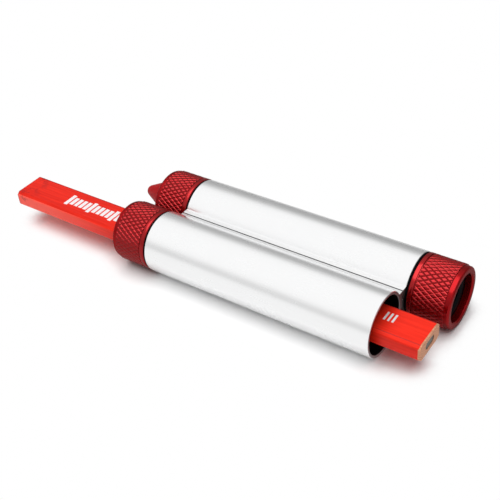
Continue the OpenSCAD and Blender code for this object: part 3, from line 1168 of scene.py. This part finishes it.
@dataclass
class GripHead:
    """One knurled screw collar with its black ring and the split collet that rides in it.

    Lengths along the head are distances outwards from the barrel's end face.
    """

    grip: str
    side: int
    knurl_turn: float
    knurl_s: float = 3.4
    radius: float = TUBE_RADIUS
    root: float = 11.3
    neck: float = 10.38
    neck_bore: float = 9.2
    neck_end: float = -8.4
    thread: Thread = Thread()
    thread_lead: float = 0.4
    gap: float = 0.8
    soft: float = 0.1
    crisp: float = 0.05
    shoulder_bevel: float = 0.3
    shoulder_round: tuple[float, float] = (0.15, 0.12)
    shoulder_end: float = 2.5
    knurl_start: float = 2.8
    knurl_end: float = 14.1
    knurl_lip: float = 0.15
    nose: float = 16.1
    nose_round: float = 0.8
    nose_steps: int = 5
    mouth: float = 8.7
    mouth_bevel: float = 0.5
    lip_face: float = 13.3
    bead_groove: tuple[float, float] = (11.8, 9.55)
    bore_end: float = 10.8
    diamonds: int = 40
    diamond_len: float = 3.15
    flank_shares: tuple = (0, 1 / 12, 1 / 6, 1 / 4, 1 / 2)
    height_shares: tuple = (0.42, 0.64, 0.83, 0.94, 1)
    cells: int = 12
    neck_tint: float = 0.9
    land_tint: float = 1.05
    rub_tint: float = 1.35
    nose_tint: float = -1.0
    seal: tuple[float, float] = (0.76, 1.2)
    seal_columns: int = 160
    seal_steps: int = 9
    collet: float = 9.12
    collet_bead: tuple[float, float, float] = (11.95, 13.15, 9.47)
    collet_tail: tuple[float, float, float] = (-8.55, -11.95, 8.32)
    funnel: float = 0.8
    collet_bore: float = 6.43
    collet_ease: float = 0.06
    collet_columns: int = 144
    fingers: int = 6
    finger_cut: float = 1.0
    cut_end: float = 6.15
    overrun: float = 1.0
    finish: Finish = field(default_factory=RedAnodised)
    rubber: Finish = field(default_factory=lambda: BlackMoulding("black_rubber", roughness=0.7, shine=0.02))
    nylon: Finish = field(default_factory=lambda: BlackMoulding("black_nylon", roughness=0.42))

    def axis(self) -> Axis:
        """Finds the head's axis from its collar's box.

        Returns:
            The axis, with s at 0 on the barrel's end face.
        """
        low, high = (np.array(c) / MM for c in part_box(self.grip + "_collar"))
        nose = high[0] if self.side > 0 else low[0]
        return Axis(nose - self.side * self.nose, (low[1] + high[1]) / 2, self.radius, self.side)

    def knurl_rows(self) -> Array:
        """Places the knurl's rings on the diamonds' own grid, with one ring more near each edge.

        Returns:
            The rings' distances along the axis.
        """
        pitch = self.diamond_len / self.cells
        low, high = self.knurl_start + self.soft, self.knurl_end - self.soft
        first = math.ceil((low + self.soft - self.knurl_s) / pitch)
        last = math.floor((high - self.soft - self.knurl_s) / pitch)
        inner = self.knurl_s + pitch * np.arange(first, last + 1)
        return np.concatenate([[low], inner, [high]])

    def groove_distances(self, s: Array, turn: Array) -> tuple[Array, Array]:
        """Places a point between the knurl's grooves.

        Two families of lines cross: u is the turn in diamonds plus s in diamond lengths, and v is the turn
        less s. A groove lies half-way between two whole numbers of u or of v.

        Args:
            s: distance along the axis.
            turn: angle round it.

        Returns:
            Each family's distance from its nearest groove, in shares of the grooves' spacing.
        """
        phase = (turn - math.radians(self.knurl_turn)) * self.diamonds / TURN
        climb = (s - self.knurl_s) / self.diamond_len
        return np.abs((phase + climb) % 1 - 0.5), np.abs((phase - climb) % 1 - 0.5)

    def knurl_height(self, s: Array, turn: Array) -> Array:
        """The knurl's height: a flank up from the nearest groove, a soft edge, then a crowned land."""
        away = np.minimum(*self.groove_distances(s, turn))
        return np.interp(away, self.flank_shares, self.height_shares)

    def collar(self, axis: Axis) -> bpy.types.Object:
        """The collar: threaded neck, shoulder, knurl, rounded nose and lipped mouth, as one closed grid.

        The thread leads in from the neck's plain root, and fades out over its last half turn.

        Args:
            axis: the head's axis.

        Returns:
            The piece.
        """
        turn = around(self.diamonds * self.cells) + math.radians(self.knurl_turn)
        half_pitch, soft, crisp = self.thread.pitch / 2, self.soft, self.crisp
        thread_start = -half_pitch - self.thread.turns * self.thread.pitch
        groove_s, groove_r = self.bead_groove
        thread_root, lip = self.neck - self.thread.depth, self.root + self.knurl_lip
        bevel = self.shoulder_bevel
        neck = eased(
            [(0, self.neck_bore), (self.neck_end, self.neck_bore), (self.neck_end, thread_root),
             (thread_start - soft, thread_root)],
            soft,
        )
        thread = np.linspace(thread_start, -half_pitch, self.thread.turns * self.thread.rows + 1)
        shoulder = eased(
            [(soft - half_pitch, self.neck), (self.gap, self.neck), (self.gap, self.radius - bevel),
             (self.gap + bevel, self.radius), (self.shoulder_end, self.radius),
             (self.shoulder_end, self.root), (self.knurl_start, self.root), (self.knurl_start, lip)],
            [soft, soft, *self.shoulder_round, crisp, crisp],
        )
        band = self.knurl_rows()
        nose = eased(
            [(self.knurl_end, lip), (self.knurl_end, self.root), (self.nose, self.root),
             (self.nose, self.mouth + self.mouth_bevel), (self.nose - self.mouth_bevel, self.mouth),
             (self.lip_face, self.mouth), (self.lip_face, groove_r), (groove_s, groove_r),
             (groove_s, self.neck_bore), (self.bore_end, self.neck_bore)],
            [crisp, self.nose_round, soft, soft, soft, crisp, crisp, crisp],
            self.nose_steps,
        )
        worn = np.interp(shoulder[:, 1], [self.radius - soft, self.radius], [1.0, self.rub_tint])
        plain = np.ones_like(turn)
        fade = np.interp(thread, [-2 * half_pitch, -half_pitch], [1, 0])
        lead = np.interp(thread, [thread_start, thread_start + self.thread_lead], [1, 0])
        dip = np.maximum(self.thread.dip(thread[:, None], turn, self.side) * fade[:, None], lead[:, None])
        height = self.knurl_height(band[:, None], turn)
        rings = [
            (neck[:, 0], neck[:, 1:] * plain, self.neck_tint),
            (thread, self.neck - self.thread.depth * dip, self.neck_tint),
            (shoulder[:, 0], shoulder[:, 1:] * plain, worn[:, None]),
            (band, self.root + (self.radius - self.root) * height, height * self.land_tint),
            (nose[:, 0], nose[:, 1:] * plain, self.nose_tint),
        ]
        shell = Shell()
        ids = [shell.add(axis.place(s[:, None], r, turn), np.broadcast_to(t, r.shape)) for s, r, t in rings]
        quads = shell.skin(np.vstack(ids), loop=True)
        start = sum(len(part) for part in ids[:3])
        knurl = quads[start : start + len(band) - 1]
        middles = (band[:-1] + band[1:])[:, None] / 2
        away_u, away_v = self.groove_distances(middles, turn + math.pi / len(turn))
        shell.halves(knurl, away_u < away_v)
        shell.quads(np.delete(quads, np.s_[start : start + len(band) - 1], axis=0))
        return shell.piece(self.grip + "_collar_knurled", self.finish)

    def seal_ring(self, axis: Axis) -> bpy.types.Object:
        """The black ring between collar and barrel, with a half-round rim.

        Args:
            axis: the head's axis.

        Returns:
            The piece.
        """
        thick, wide = self.seal
        bend = np.linspace(-math.pi / 2, math.pi / 2, self.seal_steps)
        rim_s, rim_r = self.gap - thick / 2, self.neck + wide - thick / 2
        rim = np.stack([rim_s + thick / 2 * np.sin(bend), rim_r + thick / 2 * np.cos(bend)], axis=1)
        section = np.vstack([[(self.gap - thick, self.neck)], rim, [(self.gap, self.neck)]])
        return ring_piece(self.grip + "_seal_band", self.rubber, axis, section, self.seal_columns)

    def collet_blank(self, axis: Axis, bore: float) -> bpy.types.Object:
        """The collet before its fingers are cut: beaded nose, straight body, tapered tail, funnelled bore.

        Args:
            axis: the head's axis.
            bore: the bore's radius.

        Returns:
            The blank.
        """
        bead_back, front, bead_r = self.collet_bead
        tail_start, tail_end, tail_r = self.collet_tail
        bevel = bead_r - self.collet
        section = [
            (tail_end, bore), (tail_end, tail_r), (tail_start, self.collet), (bead_back, self.collet),
            (bead_back + bevel, bead_r), (front - bevel, bead_r), (front, self.collet),
            (front, bore + self.funnel), (front - self.funnel, bore),
        ]
        outline = eased_loop(section, self.collet_ease)
        return ring_piece(self.grip + "_collet_split", self.nylon, axis, outline, self.collet_columns)

    def finger_cutters(self, axis: Axis, turns: Array) -> Shell:
        """Flat bars that cut the collet between its fingers, from its tail.

        Args:
            axis: the head's axis.
            turns: the cuts' angles round it, in radians.

        Returns:
            The bars.
        """
        shell = Shell()
        half = self.finger_cut / 2
        for turn in turns:
            out, across = np.array([np.cos(turn), np.sin(turn)]), np.array([-np.sin(turn), np.cos(turn)])
            reach = out * (self.radius + self.overrun)
            bar = np.array([-across * half, reach - across * half, reach + across * half, across * half])
            prism(shell, axis, bar, [(self.collet_tail[1] - self.overrun, 1, 0), (self.cut_end, 1, 0)])
        return shell

    def carve(self, blank: bpy.types.Object, cutter: Shell) -> bpy.types.Object:
        """Cuts a shell's solids out of a blank.

        Args:
            blank: the piece to cut, which is used up.
            cutter: the solids that are cut away.

        Returns:
            The cut piece, under the blank's name.
        """
        tool = cutter.piece("cutter", self.nylon)
        cut = blank.modifiers.new("cut", "BOOLEAN")
        cut.operation, cut.solver, cut.object = "DIFFERENCE", "EXACT", tool
        cut.use_self = True
        bpy.context.view_layer.update()
        shape = blank.evaluated_get(bpy.context.evaluated_depsgraph_get())
        mesh = bpy.data.meshes.new_from_object(shape)
        name = blank.name
        bpy.data.objects.remove(tool)
        bpy.data.objects.remove(blank)
        return shown(name, mesh, self.nylon)

    def split_collet(self, axis: Axis) -> bpy.types.Object:
        """The round collet of a crayon: fingers on a solid band."""
        blank = self.collet_blank(axis, self.collet_bore)
        return self.carve(blank, self.finger_cutters(axis, around(self.fingers)))

    def build(self) -> None:
        """Makes the head's collar, ring and collet."""
        axis = self.axis()
        cap = self.grip + "_cap"
        settle(self.collar(axis), cap, Slot.COLLAR, self.grip + "_collar")
        settle(self.seal_ring(axis), cap, Slot.SEAL, self.grip + "_seal_ring")
        settle(self.split_collet(axis), self.grip + "_grip", Slot.COLLET, self.grip + "_collet")


@dataclass
class FlatPencil:
    """The carpenter's pencil: two cedar halves round a flat lead, in a red lacquer skin dipped at one end.

    Lengths along it are distances from the dipped end.
    """

    barrel: float = TUBE_RADIUS
    width: float = 14.1
    thick: float = 6.8
    bevel: tuple[float, float] = (1.2, 1.15)
    roll: float = 1.4
    skin: float = 0.08
    skin_reach: float = 4.0
    skin_edge: float = 0.996
    edge: float = 0.45
    edge_steps: int = 4
    end_round: tuple[float, float] = (0.7, 1.1)
    end_rings: tuple = (0, 0.01, 0.03, 0.07, 0.13, 0.21, 0.31, 0.44, 0.6, 0.8, 1.0, 1.3)
    middle_rings: tuple[float, float, int] = (2.2, 2.0, 24)
    bare: tuple[float, float] = (0.35, 0.5)
    bare_power: int = 6
    ragged: tuple = ((0.05, 5, 1), (0.035, 13, 0))
    wood_start: float = 1.4
    sawn_edge: tuple[float, float] = (0.08, 0.985)
    pith: tuple[float, float] = (-2.0, 6.0)
    lead: tuple[float, float] = (6.2, 3.0)
    lead_steps: int = 13
    groove_steps: int = 9
    lead_fit: float = 0.99
    lead_start: float = 1.5
    lead_sunk: float = 0.15
    lead_bevel: tuple[float, float] = (0.06, 0.96)
    # sizes of the cut end's dull ring and of its middle, which carries a painted highlight
    lead_highlight: tuple[float, float] = (0.8, 0.6)
    glue: float = 0.012

    def section(self, grow: float = 0.0, edge: float | None = None) -> Array:
        """The flat octagon of the pencil, with eased edges.

        Args:
            grow: how far every side stands out from the pencil's own size.
            edge: the edges' radius, where it isn't the pencil's own.

        Returns:
            The outline, across and up.
        """
        w, t = self.width / 2 + grow, self.thick / 2 + grow
        bw, bt = self.bevel
        corners = [
            (w - bw, t), (-w + bw, t), (-w, t - bt), (-w, -t + bt),
            (-w + bw, -t), (w - bw, -t), (w, -t + bt), (w, t - bt),
        ]
        return eased_loop(corners, self.edge if edge is None else edge, self.edge_steps)

    def rolled(self, outline: Array) -> Array:
        """An outline turned by the pencil's roll."""
        c, s = math.cos(math.radians(self.roll)), math.sin(math.radians(self.roll))
        return outline @ np.array([[c, s], [-s, c]])

    def half_section(self, up: int) -> Array:
        """One half's outline: half of the octagon, with half of the lead's groove in its flat side.

        Args:
            up: 1 for the upper half, -1 for the lower.

        Returns:
            The outline, across and up.
        """
        w, t = self.width / 2 - self.skin, self.thick / 2 - self.skin
        bw, bt = self.bevel
        lead_w, lead_t = self.lead
        land, r = (lead_w - lead_t) / 2, lead_t / 2
        bend = np.linspace(math.pi, math.pi / 2, self.groove_steps)
        left = np.stack([-land + r * np.cos(bend), r * np.sin(bend)], axis=1)
        groove = np.vstack([left, left[::-1] * (-1, 1)])
        groove[[0, -1], 1] = self.glue
        outer = eased(
            [(w, self.glue), (w, t - bt), (w - bw, t), (-w + bw, t), (-w, t - bt), (-w, self.glue)],
            self.edge - self.skin,
            self.edge_steps,
        )
        return np.vstack([outer, groove]) * (1, up)

    def lead_rod(self, axis: Axis, length: float) -> bpy.types.Object:
        """The lead: a flat rod with round sides, whose sawn end carries a painted highlight in the middle.

        Args:
            axis: the pencil's axis.
            length: the pencil's length.

        Returns:
            The piece.
        """
        wide, thick = self.lead
        bend = np.linspace(-math.pi / 2, math.pi / 2, self.lead_steps)
        right = np.stack([(wide - thick) / 2 + thick / 2 * np.cos(bend), thick / 2 * np.sin(bend)], axis=1)
        outline = self.rolled(np.vstack([right, -right])) * self.lead_fit
        end = length - self.lead_sunk
        bevel, drawn_in = self.lead_bevel
        # painted highlight: the cut end's middle ring takes tint 1
        dull, bright = self.lead_highlight
        rings = [
            (self.lead_start, 1, 0), (end - bevel, 1, 0),
            (end, drawn_in, 0), (end, dull, 0), (end, bright, 1),
        ]
        shell = Shell()
        prism(shell, axis, outline, rings)
        return settle(shell.piece("pencil_lead_flat", Graphite()), "pencil", Slot.LEAD, "pencil_lead")

    def build(self) -> None:
        """Makes the lacquer, the two halves and the lead."""
        low, high = (np.array(c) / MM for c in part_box("pencil_upper_slat"))
        barrel = [np.array(c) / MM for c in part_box("pencil_barrel")]
        axis = Axis(low[0], barrel[0][1] + self.barrel, self.barrel)
        length = high[0] - low[0]
        self.lacquer(axis, length)
        aside, above = self.pith
        wood = Cedar(centre=(high[0], axis.y + aside, axis.z + above))
        bevel, drawn_in = self.sawn_edge
        rings = [(self.wood_start, 1, 0), (length - bevel, 1, 0), (length, drawn_in, 0)]
        for up, node in ((1, "pencil_upper_slat"), (-1, "pencil_lower_slat")):
            shell = Shell()
            prism(shell, axis, self.rolled(self.half_section(up)), rings)
            settle(shell.piece(node + "_cedar", wood), "pencil", Slot.LACQUER, node)
        self.lead_rod(axis, length)

    def lacquer(self, axis: Axis, length: float) -> bpy.types.Object:
        """The lacquer skin: round at the dipped end, cut ragged just short of the bare end.

        Over the first radius r of its length the section is drawn in by r less the height of a quarter
        circle, with one radius across and another for the thickness. At the cut end the edge lies further
        back towards the sides, by a power of the place across, and wanders by a sum of sines round the
        section, each with its height, its waves to the round and its start.

        Args:
            axis: the pencil's axis.
            length: the pencil's length.

        Returns:
            The piece.
        """
        outline = self.section()
        start = np.array(self.end_rings)[:, None]
        round_end = np.array(self.end_round)
        left = np.maximum(round_end - start, 0)
        inset = round_end - np.sqrt(round_end**2 - left**2)
        half = np.array([self.width / 2, self.thick / 2])
        first, from_cut, count = self.middle_rings
        middle = np.linspace(first, length - from_cut, count)
        stations = np.concatenate([start[:, 0], middle])
        grown = np.vstack([1 - inset / half, np.ones((len(middle), 2))])
        turn = around(len(outline))
        wander = sum(height * np.sin(waves * turn + start_at) for height, waves, start_at in self.ragged)
        short, at_sides = self.bare
        cut = length - short - at_sides * np.abs(outline[:, 0] / half[0]) ** self.bare_power + wander
        inner = self.rolled(self.section(-self.skin, self.edge - self.skin / 2))
        shell = Shell()
        skin = axis.lay(stations[:, None], self.rolled(outline[None] * grown[:, None]))
        edge = axis.lay(cut, self.rolled(outline) * self.skin_edge)[None]
        lip = axis.lay(cut, inner)[None]
        back = axis.lay(np.array([[length - self.skin_reach]]), inner[None])
        deep = axis.lay(np.array([[self.end_rings[-1]]]), inner[None])
        ids = shell.add(np.vstack([skin, edge, lip, back, deep]))
        shell.quads(shell.skin(ids))
        shell.fill(ids[0])
        shell.fill(ids[-1])
        finish = PencilLacquer(
            centre=(0, axis.y, axis.z), roll=self.roll, left=axis.x, top=self.thick / 2
        )
        piece = shell.piece("pencil_lacquer_skin", finish)
        return settle(piece, "pencil", Slot.LACQUER, "pencil_upper_slat", "pencil_lower_slat")


@dataclass
class PencilHead(GripHead):
    """The pencil's grip head, whose collet has the pencil's own opening, cut at its four corners."""

    clear: float = 0.08
    pilot_bore: float = 1.0
    pencil: FlatPencil = field(default_factory=FlatPencil)

    def split_collet(self, axis: Axis) -> bpy.types.Object:
        """The collet: a round blank with a flat octagonal opening, split at the opening's corners.

        Args:
            axis: the head's axis.

        Returns:
            The piece.
        """
        blank = self.collet_blank(axis, self.pilot_bore)
        opening = Shell()
        _, front, _ = self.collet_bead
        _, tail_end, _ = self.collet_tail
        outline = self.pencil.rolled(self.pencil.section(self.clear))
        prism(opening, axis, outline, [(tail_end - self.overrun, 1, 0), (front + self.overrun, 1, 0)])
        blank = self.carve(blank, opening)
        corner, roll = math.atan2(self.pencil.thick, self.pencil.width), math.radians(self.pencil.roll)
        turns = np.array([corner, math.pi - corner, math.pi + corner, -corner]) + roll
        return self.carve(blank, self.finger_cutters(axis, turns))


@dataclass
class MarkingCrayon:
    """The round wax crayon: bevelled tail, straight body, and a taper to a blunt round tip."""

    radius: float = 6.35
    tip_round: float = 2.4
    tip_angle: float = 26.0
    tip_start: float = 0.06
    tip_steps: int = 16
    tail_bevel: float = 0.5
    edges: tuple[float, float, float] = (1.5, 0.2, 0.2)
    edge_steps: int = 5
    wall_margin: float = 2.0
    wall_rings: int = 30
    columns: int = 120
    finish: Finish = field(default_factory=CrayonWax)

    def build(self) -> None:
        """Turns the crayon's profile: a cap of the tip's radius, the taper that touches it, and the body."""
        low, high = (np.array(c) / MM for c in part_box("crayon_stick"))
        axis = Axis(low[0], (low[1] + high[1]) / 2, (low[2] + high[2]) / 2)
        length = high[0] - low[0]
        lean = math.radians(self.tip_angle)
        bend = np.linspace(self.tip_start, math.pi / 2 - lean, self.tip_steps)
        cap = np.stack([self.tip_round * (1 - np.cos(bend)), self.tip_round * np.sin(bend)], axis=1)
        taper = (self.radius - cap[-1, 1]) / math.tan(lean)
        body = eased(
            [tuple(cap[-1]), (cap[-1, 0] + taper, self.radius), (length - self.tail_bevel, self.radius),
             (length, self.radius - self.tail_bevel), (length, self.tail_bevel)],
            self.edges,
            self.edge_steps,
        )
        margin = self.wall_margin
        straight = np.linspace(cap[-1, 0] + taper + margin, length - margin, self.wall_rings)
        split = int(np.searchsorted(body[:, 0], straight[0]))
        wall = np.stack([straight, np.full_like(straight, self.radius)], axis=1)
        profile = np.vstack([cap, body[1:split], wall, body[split:]])
        shell = Shell()
        ids = shell.add(axis.place(profile[:, :1], profile[:, 1:], around(self.columns)))
        shell.quads(shell.skin(ids))
        shell.tip(ids[0], axis.place(0, 0, 0))
        shell.tip(ids[-1], axis.place(length, 0, 0))
        settle(shell.piece("crayon_wax_stick", self.finish), "crayon", Slot.CRAYON, "crayon_stick")


@dataclass
class Studio:
    """The camera, the white table and the soft light.

    The greys of both tents go with the height of the direction, from 0 at the horizon to 1 overhead.
    """

    azimuth: float = 36.904
    elevation: float = 36.823
    roll: float = -4.14
    distance: float = 326.8
    target: Colour = (12.65, -0.9, 11.7)
    lens: float = 63.99
    sensor: float = 36.0
    clip: float = 10.0
    table: float = 4000.0
    table_white: Colour = (0.94, 0.94, 0.94)
    table_mirrored: float = 0.03
    lamp_place: Colour = (-60.0, -235.0, 900.0)
    lamp_size: tuple[float, float] = (1440.0, 1080.0)
    lamp_watts: float = 11.0
    matt_light: float = 0.22
    tent_far: tuple = ((0.0, 0.4), (0.25, 0.4), (0.4, 0.46), (0.53, 0.62), (0.66, 0.96), (0.74, 1.0))
    tent_near: tuple = ((0.0, 0.7), (0.2, 0.7), (0.42, 1.0))
    back_greys: tuple[float, float] = (0.64, 0.42)
    back_from: tuple[float, float] = (0.0, 35.0)
    back_fade: tuple[float, float] = (110.0, 260.0)
    tent_sides: tuple[float, float] = (-0.3, 0.3)
    shade_reach: float = 12.0
    shade_samples: int = 16
    shade_range: tuple[float, float] = (0.66, 0.89)
    mirror_range: tuple[float, float] = (0.66, 0.88)
    mirror_shade: tuple[float, float] = (0.35, 0.55)
    mirror_grey: float = 0.14

    def camera(self) -> None:
        """A camera on a sphere round its target: azimuth 0 looks along +Y, and roll tilts the picture."""
        az, el, roll = (math.radians(a) for a in (self.azimuth, self.elevation, self.roll))
        back = Vector((math.sin(az) * math.cos(el), -math.cos(az) * math.cos(el), math.sin(el)))
        level = Vector((math.cos(az), math.sin(az), 0))
        above = back.cross(level)
        right = level * math.cos(roll) + above * math.sin(roll)
        up = above * math.cos(roll) - level * math.sin(roll)
        data = bpy.data.cameras.new("camera")
        data.lens, data.sensor_width, data.clip_start = self.lens, self.sensor, self.clip * MM
        camera = bpy.data.objects.new("camera", data)
        turn = Matrix((right, up, back)).transposed().to_4x4()
        camera.matrix_world = Matrix.Translation((Vector(self.target) + back * self.distance) * MM) @ turn
        bpy.context.scene.collection.objects.link(camera)
        bpy.context.scene.camera = camera

    def floor(self) -> None:
        """A wide white table: plain white where nothing stands close, with the object's shadow round it.

        The share of open sky within reach goes from shadow to white, as in an amply lit picture. A mirror
        sees a slightly dimmer table on the camera's side, and a greyer one behind the object.
        """
        half = self.table / 2
        corners = np.array([[-half, -half, 0], [half, -half, 0], [half, half, 0], [-half, half, 0]])
        material = bpy.data.materials.new("white_table")
        graph = Graph(material)
        seen = graph.node("LightPath", out="Is Camera Ray")
        mirrored = graph.node("LightPath", out="Is Glossy Ray")
        y = graph.place().axes()[1]
        behind = y.step(*self.back_from)
        near, far = ((grey,) * 3 for grey in self.back_greys)
        back = graph.blend(y.step(*self.back_fade), near, far)
        reach = {"Distance": self.shade_reach * MM}
        sky = graph.node("AmbientOcclusion", {"samples": self.shade_samples}, reach, "AO")
        dimmed = mirrored * sky.step(*self.mirror_shade) * self.mirror_grey
        front = graph.blend(dimmed, self.table_white, (0, 0, 0))
        colour = graph.blend(mirrored * behind, front, back)
        share = seen * sky.step(*self.shade_range) + mirrored * (1 - behind) * sky.step(*self.mirror_range)
        matt = graph.node("BsdfDiffuse", None, {"Color": colour})
        strength = 1 - mirrored * self.table_mirrored
        white = graph.node("Emission", None, {"Color": (1, 1, 1), "Strength": strength})
        graph.finish(graph.node("MixShader", None, {0: share, 1: matt, 2: white}))
        mesh = bpy.data.meshes.new("white_table")
        mesh.from_pydata((corners * MM).tolist(), [], [[0, 1, 2, 3]])
        mesh.materials.append(material)
        table = bpy.data.objects.new("white_table", mesh)
        bpy.context.scene.collection.objects.link(table)

    def greys(self, stops: tuple) -> dict:
        """A colour ramp's settings from places and greys."""
        return {"stops": [(place, (grey,) * 3) for place, grey in stops]}

    def world(self) -> None:
        """A white tent with a grey band along the horizon, which shows in the metal.

        What is seen directly is white. Matt surfaces get an even grey light, and the lamp gives the rest.
        """
        world = bpy.data.worlds.new("tent")
        bpy.context.scene.world = world
        graph = Graph(world)
        _, y, z = graph.node("TexCoord", out="Generated").axes()
        seen = graph.node("LightPath", out="Is Camera Ray")
        matt = graph.node("LightPath", out="Is Diffuse Ray")
        far = graph.node("ValToRGB", self.greys(self.tent_far), {0: z})
        near = graph.node("ValToRGB", self.greys(self.tent_near), {0: z})
        tent = graph.blend(y.step(*self.tent_sides), near, far)
        lit = graph.blend(matt, tent, (self.matt_light,) * 3)
        colour = graph.blend(seen, lit, (1, 1, 1))
        graph.finish(graph.node("Background", None, {"Color": colour, "Strength": 1.0}), "OutputWorld")

    def lamp(self) -> bpy.types.Object:
        """One broad soft lamp overhead, facing down.

        Returns:
            The lamp.
        """
        data = bpy.data.lights.new("softbox", "AREA")
        data.shape, data.energy = "ELLIPSE", self.lamp_watts
        data.size, data.size_y = (size * MM for size in self.lamp_size)
        lamp = bpy.data.objects.new("softbox", data)
        lamp.location = Vector(self.lamp_place) * MM
        lamp.visible_camera = False
        bpy.context.scene.collection.objects.link(lamp)
        return lamp

    def keep_lamp_off(self, lamp: bpy.types.Object, pieces: list[bpy.types.Object]) -> None:
        """Leaves only the tent to light some pieces, so that bright metal doesn't burn out under the lamp.

        Args:
            lamp: the lamp.
            pieces: what it doesn't light.
        """
        shaded = bpy.data.collections.new("mirrors_of_the_tent")
        for piece in pieces:
            shaded.objects.link(piece)
        for member in shaded.collection_objects:
            member.light_linking.link_state = "EXCLUDE"
        lamp.light_linking.receiver_collection = shaded

    def build(self) -> bpy.types.Object:
        """Sets up the camera, the table, the world and the lamp.

        Returns:
            The lamp.
        """
        self.camera()
        self.floor()
        self.world()
        bpy.context.scene.view_settings.view_transform = "Standard"
        return self.lamp()


def main() -> None:
    """Builds the studio and the object's pieces in order."""
    logging.basicConfig(level=logging.INFO, format="%(name)s: %(message)s")
    studio = Studio()
    lamp = studio.build()
    studio.keep_lamp_off(lamp, TwinBarrel().build())
    PencilHead("pencil", -1, knurl_turn=112.0, knurl_s=3.5).build()
    GripHead("front", -1, knurl_turn=114.0).build()
    GripHead("rear", 1, knurl_turn=105.0).build()
    FlatPencil().build()
    MarkingCrayon().build()


if __name__ == "__main__":
    main()
